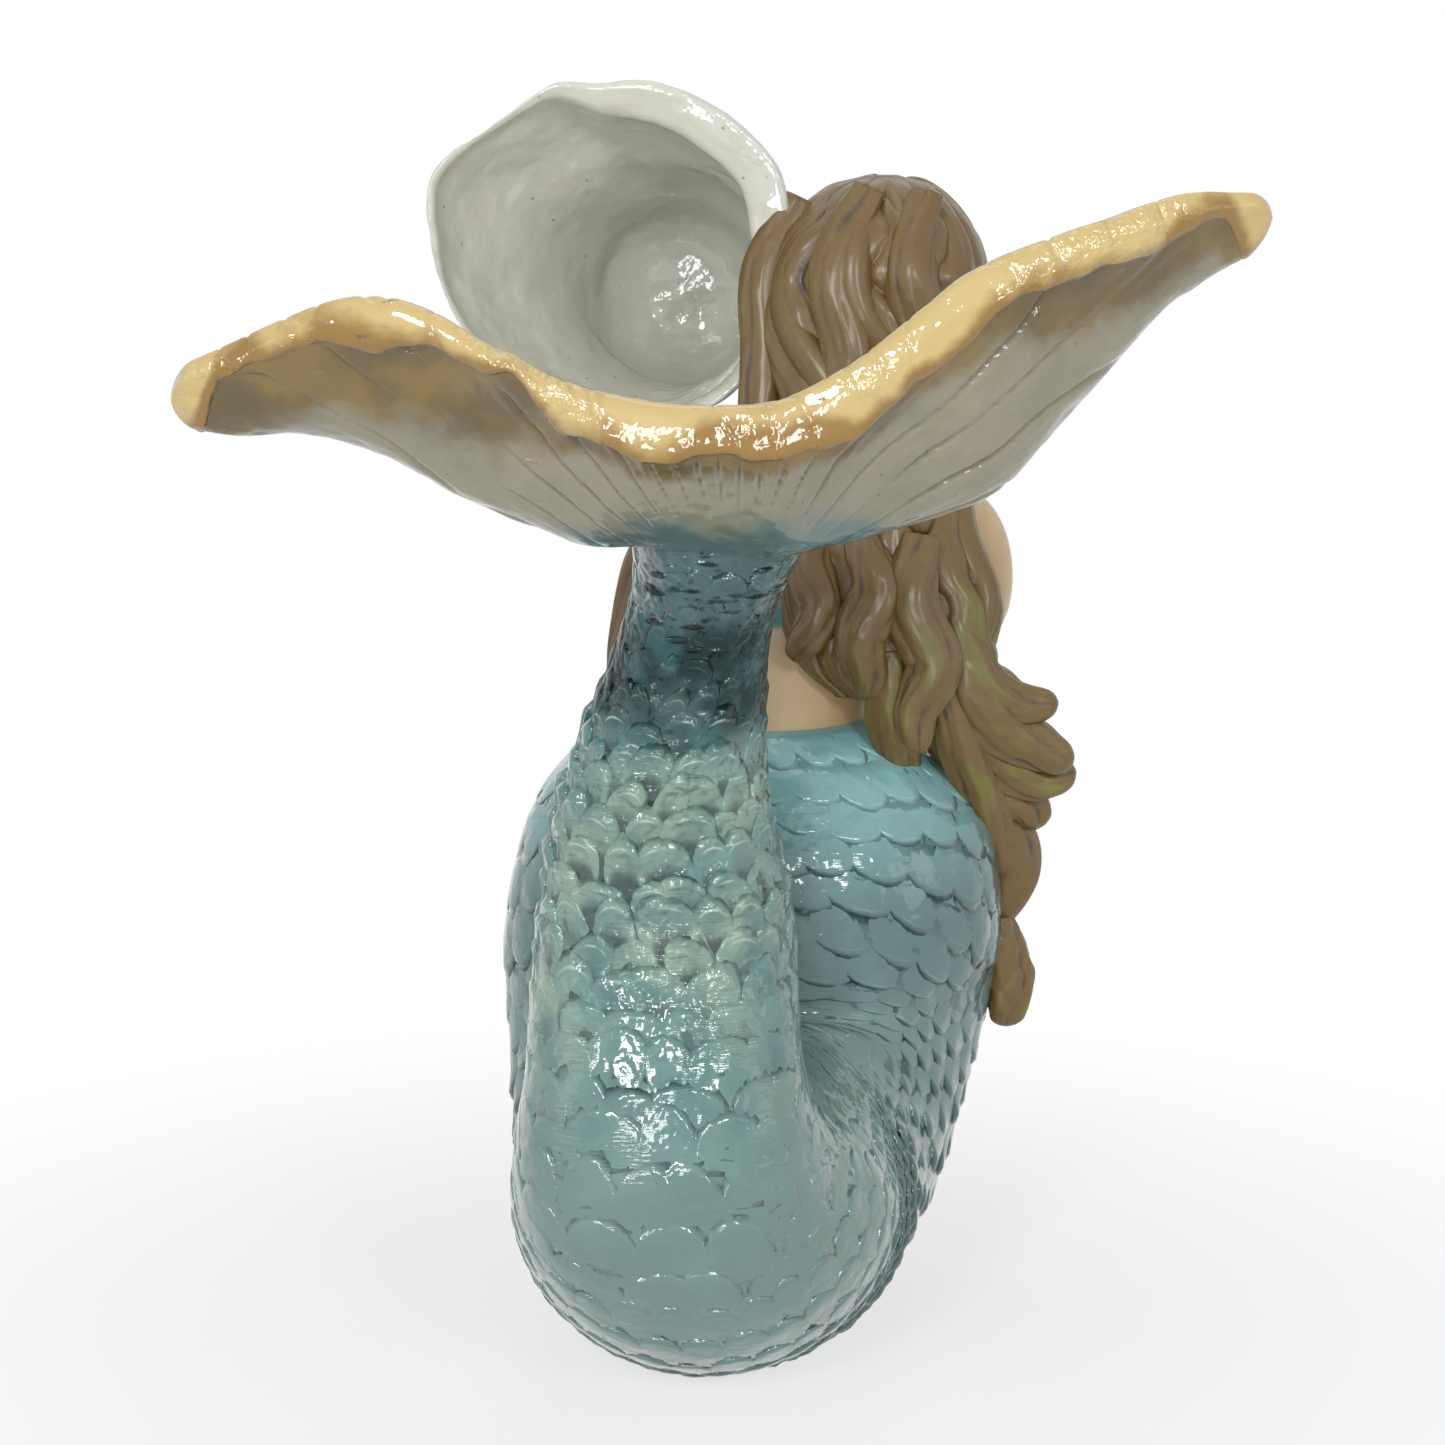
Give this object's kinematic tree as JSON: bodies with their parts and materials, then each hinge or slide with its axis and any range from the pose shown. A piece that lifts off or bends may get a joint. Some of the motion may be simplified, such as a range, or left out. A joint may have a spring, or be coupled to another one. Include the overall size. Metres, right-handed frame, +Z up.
{
  "type": "wine bottle holder",
  "caption": "Cast resin mermaid bottle holder: the bottle lies in the tail fluke's saddle and its neck goes into the shell that she holds up.",
  "frame": {"origin": "under the middle of the whole figure's bounding box, in the plane of the flat foot", "axes": "+Z up, +Y the way the figure faces (away from the bottle's base), +X to the right as seen from behind the figure"},
  "size_m": [0.168, 0.1883, 0.2251],
  "materials": {
    "painted_resin": "gloss"
  },
  "bodies": {
    "root": {"mermaid_casting": "painted_resin"}
  },
  "joints": []
}
